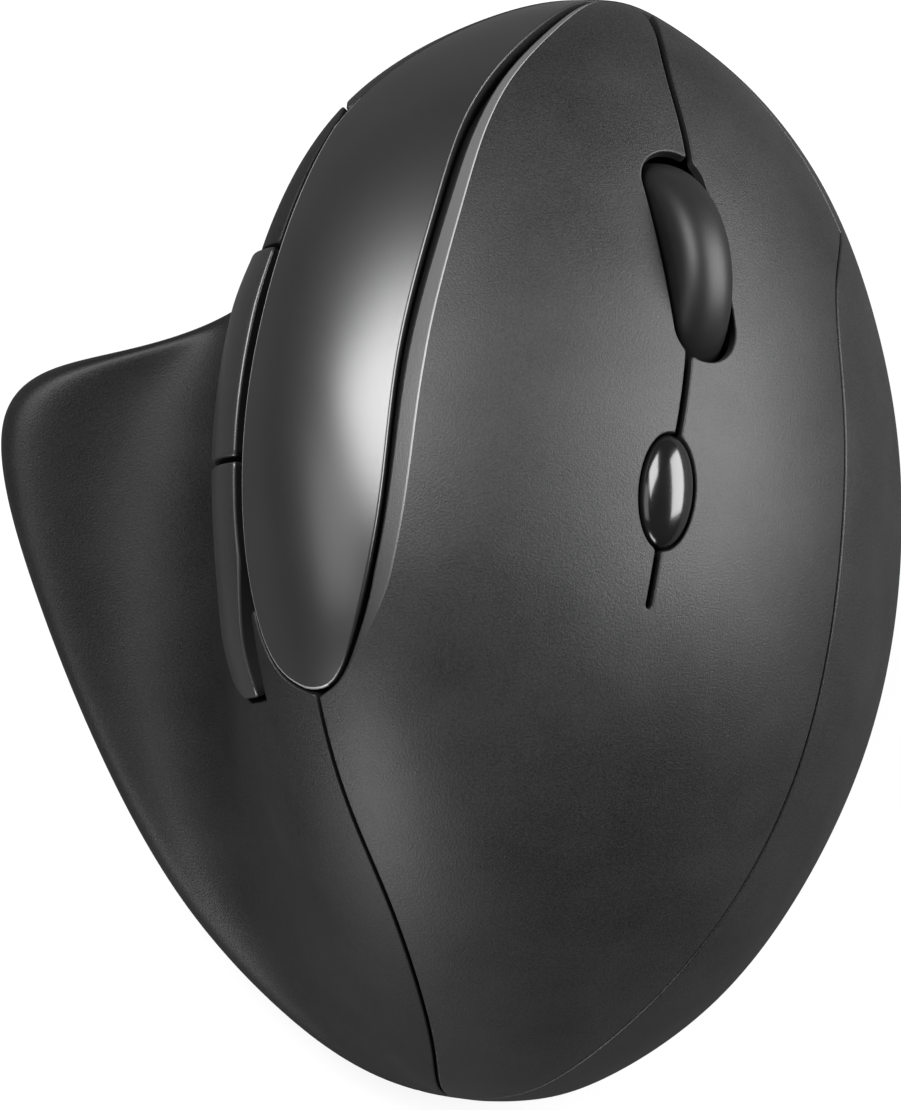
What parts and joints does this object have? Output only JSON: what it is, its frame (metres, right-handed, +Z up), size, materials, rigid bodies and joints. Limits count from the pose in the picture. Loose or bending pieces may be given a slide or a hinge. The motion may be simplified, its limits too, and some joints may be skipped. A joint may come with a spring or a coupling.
{
  "type": "ergonomic mouse",
  "caption": "Right-handed ergonomic computer mouse with a sloped palm rest, a wing under the thumb, a scroll wheel, and finger and thumb buttons.",
  "frame": {"origin": "centre of the mouse's overall box, on the desk under its glide feet", "axes": "+X to the little-finger side, +Y towards the fingertips and the keys' front edge, +Z up from the desk"},
  "size_m": [0.0956, 0.1168, 0.0639],
  "materials": {
    "soft_shell": "soft-touch, fine grain",
    "case_plastic": "fine spark texture",
    "gloss_panel": "satin gloss",
    "button_plastic": "satin",
    "gloss_button": "high gloss",
    "rubber": "matte",
    "hub_plastic": "moulded",
    "white_plastic": "moulded",
    "switch_plastic": "moulded",
    "circuit_board": "solder mask",
    "clear_lens": "moulded clear",
    "contact_metal": "nickel plated",
    "cell_sleeve": "plain metal sleeve",
    "glide_film": "smooth"
  },
  "bodies": {
    "housing": {"palm_cover": "soft_shell", "thumb_shell": "soft_shell", "bottom_case": "case_plastic", "accent_panel": "gloss_panel", "scroll_encoder": "switch_plastic", "left_switch": "switch_plastic", "right_switch": "switch_plastic", "middle_switch": "switch_plastic", "oval_switch": "switch_plastic", "key_board": "circuit_board", "key_deck": "hub_plastic", "side_board": "circuit_board", "forward_switch": "switch_plastic", "back_switch": "switch_plastic", "main_board": "circuit_board", "optical_sensor": "switch_plastic", "controller_chip": "switch_plastic", "sensor_lens": "clear_lens", "power_switch": "contact_metal", "battery_cell": "cell_sleeve", "plus_contact": "contact_metal", "minus_contact": "contact_metal", "glide_feet": "glide_film", "case_screws": "contact_metal", "board_screws": "contact_metal"},
    "left_key": {"left_key": "soft_shell", "left_plunger": "white_plastic"},
    "right_key": {"right_key": "soft_shell", "right_plunger": "white_plastic"},
    "forward_button": {"forward_button": "button_plastic", "forward_plunger": "white_plastic"},
    "back_button": {"back_button": "button_plastic", "back_plunger": "white_plastic"},
    "oval_button": {"oval_button": "gloss_button", "oval_plunger": "white_plastic"},
    "wheel_slide": {"left_bearing": "white_plastic", "right_bearing": "white_plastic", "middle_plunger": "white_plastic"},
    "wheel": {"wheel_tyre": "rubber", "wheel_hub": "hub_plastic"},
    "power_knob": {"power_knob": "white_plastic"},
    "battery_door": {"battery_door": "case_plastic"}
  },
  "joints": [
    {"name": "left_key_press", "type": "hinge", "parent": "housing", "child": "left_key", "pos_m": [0.00658, -0.00466, 0.05963], "axis": [-0.9853, 0.0003, 0.1707], "range_deg": [0, 0.7], "stiffness_Nm_per_rad": 3},
    {"name": "right_key_press", "type": "hinge", "parent": "housing", "child": "right_key", "pos_m": [0.02899, -0.00467, 0.04937], "axis": [-0.758, 0, 0.6523], "range_deg": [0, 0.7], "stiffness_Nm_per_rad": 3},
    {"name": "forward_press", "type": "slide", "parent": "housing", "child": "forward_button", "axis": [1, 0, 0], "range_m": [0, 0.0005], "stiffness_N_per_m": 900},
    {"name": "back_press", "type": "slide", "parent": "housing", "child": "back_button", "axis": [1, 0, 0], "range_m": [0, 0.0005], "stiffness_N_per_m": 900},
    {"name": "oval_press", "type": "slide", "parent": "housing", "child": "oval_button", "axis": [-0.4575, -0.074, -0.8861], "range_m": [0, 0.0005], "stiffness_N_per_m": 900},
    {"name": "wheel_click", "type": "slide", "parent": "housing", "child": "wheel_slide", "axis": [-0.4764, -0.3652, -0.7998], "range_m": [0, 0.0005], "stiffness_N_per_m": 1200},
    {"name": "wheel_spin", "type": "hinge", "parent": "wheel_slide", "child": "wheel", "pos_m": [0.02054, 0.0276, 0.04299], "axis": [0.8591, 0, -0.5118], "continuous": true},
    {"name": "power_slide", "type": "slide", "parent": "housing", "child": "power_knob", "axis": [1, 0, 0], "range_m": [0, 0.0024]},
    {"name": "battery_door_open", "type": "hinge", "parent": "housing", "child": "battery_door", "pos_m": [0.02019, 0.0166, 0.0006], "axis": [1, 0, 0], "range_deg": [0, 75]}
  ]
}
